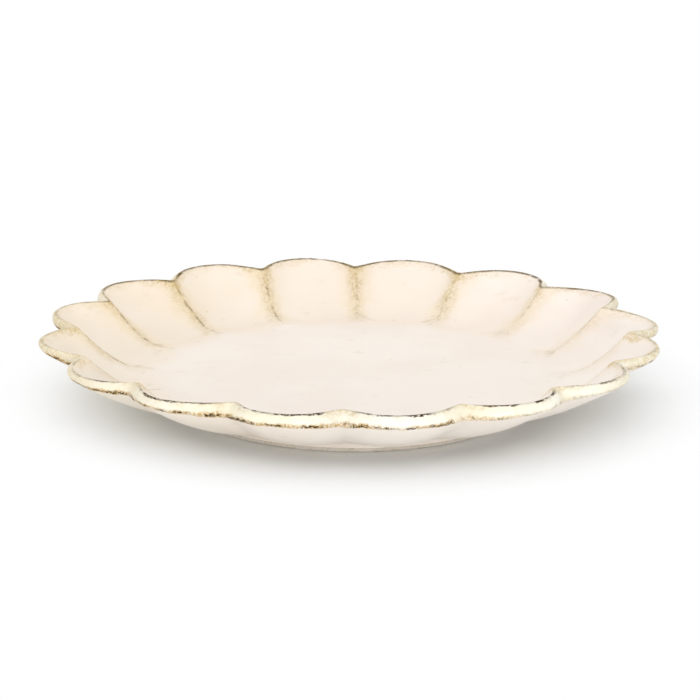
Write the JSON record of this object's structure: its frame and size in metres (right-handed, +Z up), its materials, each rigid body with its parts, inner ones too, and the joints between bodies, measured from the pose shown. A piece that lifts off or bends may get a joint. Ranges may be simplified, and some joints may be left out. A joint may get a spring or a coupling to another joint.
{
  "type": "flower-shaped plate",
  "caption": "Stoneware plate shaped like an open flower: scooped petals round a flat well, a scalloped rounded lip with a worn iron-brown edge, and a low foot ring to stand on.",
  "frame": {"origin": "centre of the face that the foot ring stands on, on the table", "axes": "+Z up along the plate's axis, out of the well; +X through a notch between two petals"},
  "size_m": [0.1872, 0.1872, 0.0236],
  "materials": {
    "bare_clay": "matte",
    "blush_glaze": "satin",
    "iron_edging": "satin"
  },
  "bodies": {
    "root": {"clay_body": "bare_clay", "foot_ring": "bare_clay", "face_glaze": "blush_glaze", "back_glaze": "blush_glaze", "base_glaze": "blush_glaze", "lip_edging": "iron_edging"}
  },
  "joints": []
}
